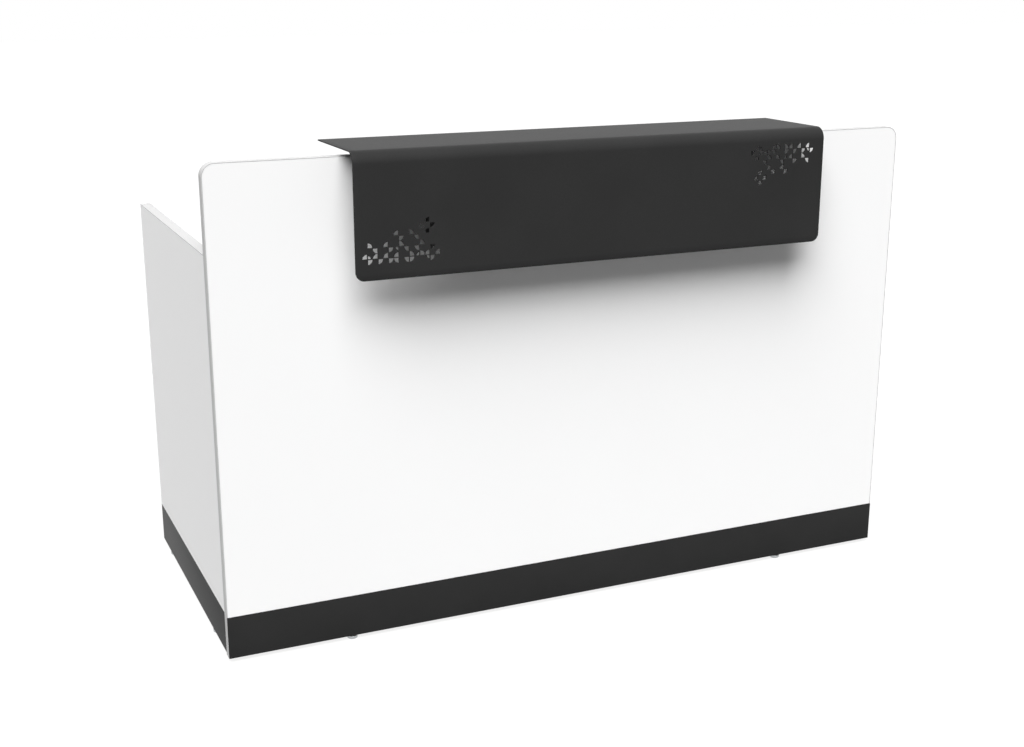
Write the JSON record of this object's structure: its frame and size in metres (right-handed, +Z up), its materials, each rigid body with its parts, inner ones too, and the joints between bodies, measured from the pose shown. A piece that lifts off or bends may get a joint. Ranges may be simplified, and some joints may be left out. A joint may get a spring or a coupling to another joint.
{
  "type": "reception desk",
  "caption": "Reception desk of white boards with dark kick plates on levelling feet, with a perforated black bent-steel hob as visitor shelf over its tall front panel.",
  "frame": {"origin": "on the floor, at the middle of the desk's box", "axes": "+X to the right as a visitor faces the front panel, +Y from the visitor towards the person seated, +Z up"},
  "size_m": [1.8, 0.895, 1.17],
  "materials": {
    "board_white": "satin white melamine on particle board",
    "edge_white": "satin white edging",
    "kick_black": "satin near-black laminate",
    "powder_black": "fine satin black powder coat",
    "bracket_black": "matt black powder coat",
    "galvanised_steel": "zinc-coated sheet steel",
    "zinc": "bright zinc plate",
    "foot_steel": "turned steel, zinc plated",
    "grommet_black": "moulded black plastic, fine grain"
  },
  "bodies": {
    "desk": {"front_panel": "board_white", "front_panel_edging": "edge_white", "front_kick_plate": "kick_black", "left_side_panel": "board_white", "left_side_edging": "edge_white", "left_kick_plate": "kick_black", "right_side_panel": "board_white", "right_side_edging": "edge_white", "right_kick_plate": "kick_black", "worktop": "board_white", "worktop_edging": "edge_white", "left_worktop_cleat": "galvanised_steel", "right_worktop_cleat": "galvanised_steel", "front_worktop_cleat": "galvanised_steel", "hob": "powder_black", "left_hob_bracket": "bracket_black", "right_hob_bracket": "bracket_black", "left_bracket_screw_1": "zinc", "left_bracket_screw_2": "zinc", "left_bracket_screw_3": "zinc", "right_bracket_screw_1": "zinc", "right_bracket_screw_2": "zinc", "right_bracket_screw_3": "zinc", "left_hob_nut_front": "zinc", "left_hob_nut_rear": "zinc", "right_hob_nut_front": "zinc", "right_hob_nut_rear": "zinc", "left_cam_1": "zinc", "left_cam_2": "zinc", "left_cam_3": "zinc", "right_cam_1": "zinc", "right_cam_2": "zinc", "right_cam_3": "zinc", "left_cam_bolt_1": "zinc", "left_cam_bolt_2": "zinc", "left_cam_bolt_3": "zinc", "right_cam_bolt_1": "zinc", "right_cam_bolt_2": "zinc", "right_cam_bolt_3": "zinc", "front_left_foot_insert": "zinc", "front_right_foot_insert": "zinc", "left_fore_foot_insert": "zinc", "left_rear_foot_insert": "zinc", "right_fore_foot_insert": "zinc", "right_rear_foot_insert": "zinc", "left_grommet": "grommet_black", "right_grommet": "grommet_black"},
    "foot_front_left": {"front_left_foot": "foot_steel"},
    "foot_front_right": {"front_right_foot": "foot_steel"},
    "foot_left_fore": {"left_fore_foot": "foot_steel"},
    "foot_left_rear": {"left_rear_foot": "foot_steel"},
    "foot_right_fore": {"right_fore_foot": "foot_steel"},
    "foot_right_rear": {"right_rear_foot": "foot_steel"},
    "cap_left": {"left_grommet_cap": "grommet_black"},
    "cap_right": {"right_grommet_cap": "grommet_black"}
  },
  "joints": [
    {"name": "front_left_foot_screw", "type": "slide", "parent": "desk", "child": "foot_front_left", "axis": [0, 0, -1], "range_m": [-0.0025, 0.012]},
    {"name": "front_right_foot_screw", "type": "slide", "parent": "desk", "child": "foot_front_right", "axis": [0, 0, -1], "range_m": [-0.0025, 0.012]},
    {"name": "left_fore_foot_screw", "type": "slide", "parent": "desk", "child": "foot_left_fore", "axis": [0, 0, -1], "range_m": [-0.0025, 0.012]},
    {"name": "left_rear_foot_screw", "type": "slide", "parent": "desk", "child": "foot_left_rear", "axis": [0, 0, -1], "range_m": [-0.0025, 0.012]},
    {"name": "right_fore_foot_screw", "type": "slide", "parent": "desk", "child": "foot_right_fore", "axis": [0, 0, -1], "range_m": [-0.0025, 0.012]},
    {"name": "right_rear_foot_screw", "type": "slide", "parent": "desk", "child": "foot_right_rear", "axis": [0, 0, -1], "range_m": [-0.0025, 0.012]},
    {"name": "left_cap_turn", "type": "hinge", "parent": "desk", "child": "cap_left", "pos_m": [-0.573, -0.2325, 0.74], "axis": [0, 0, 1], "continuous": true},
    {"name": "right_cap_turn", "type": "hinge", "parent": "desk", "child": "cap_right", "pos_m": [0.573, -0.2325, 0.74], "axis": [0, 0, 1], "continuous": true}
  ]
}
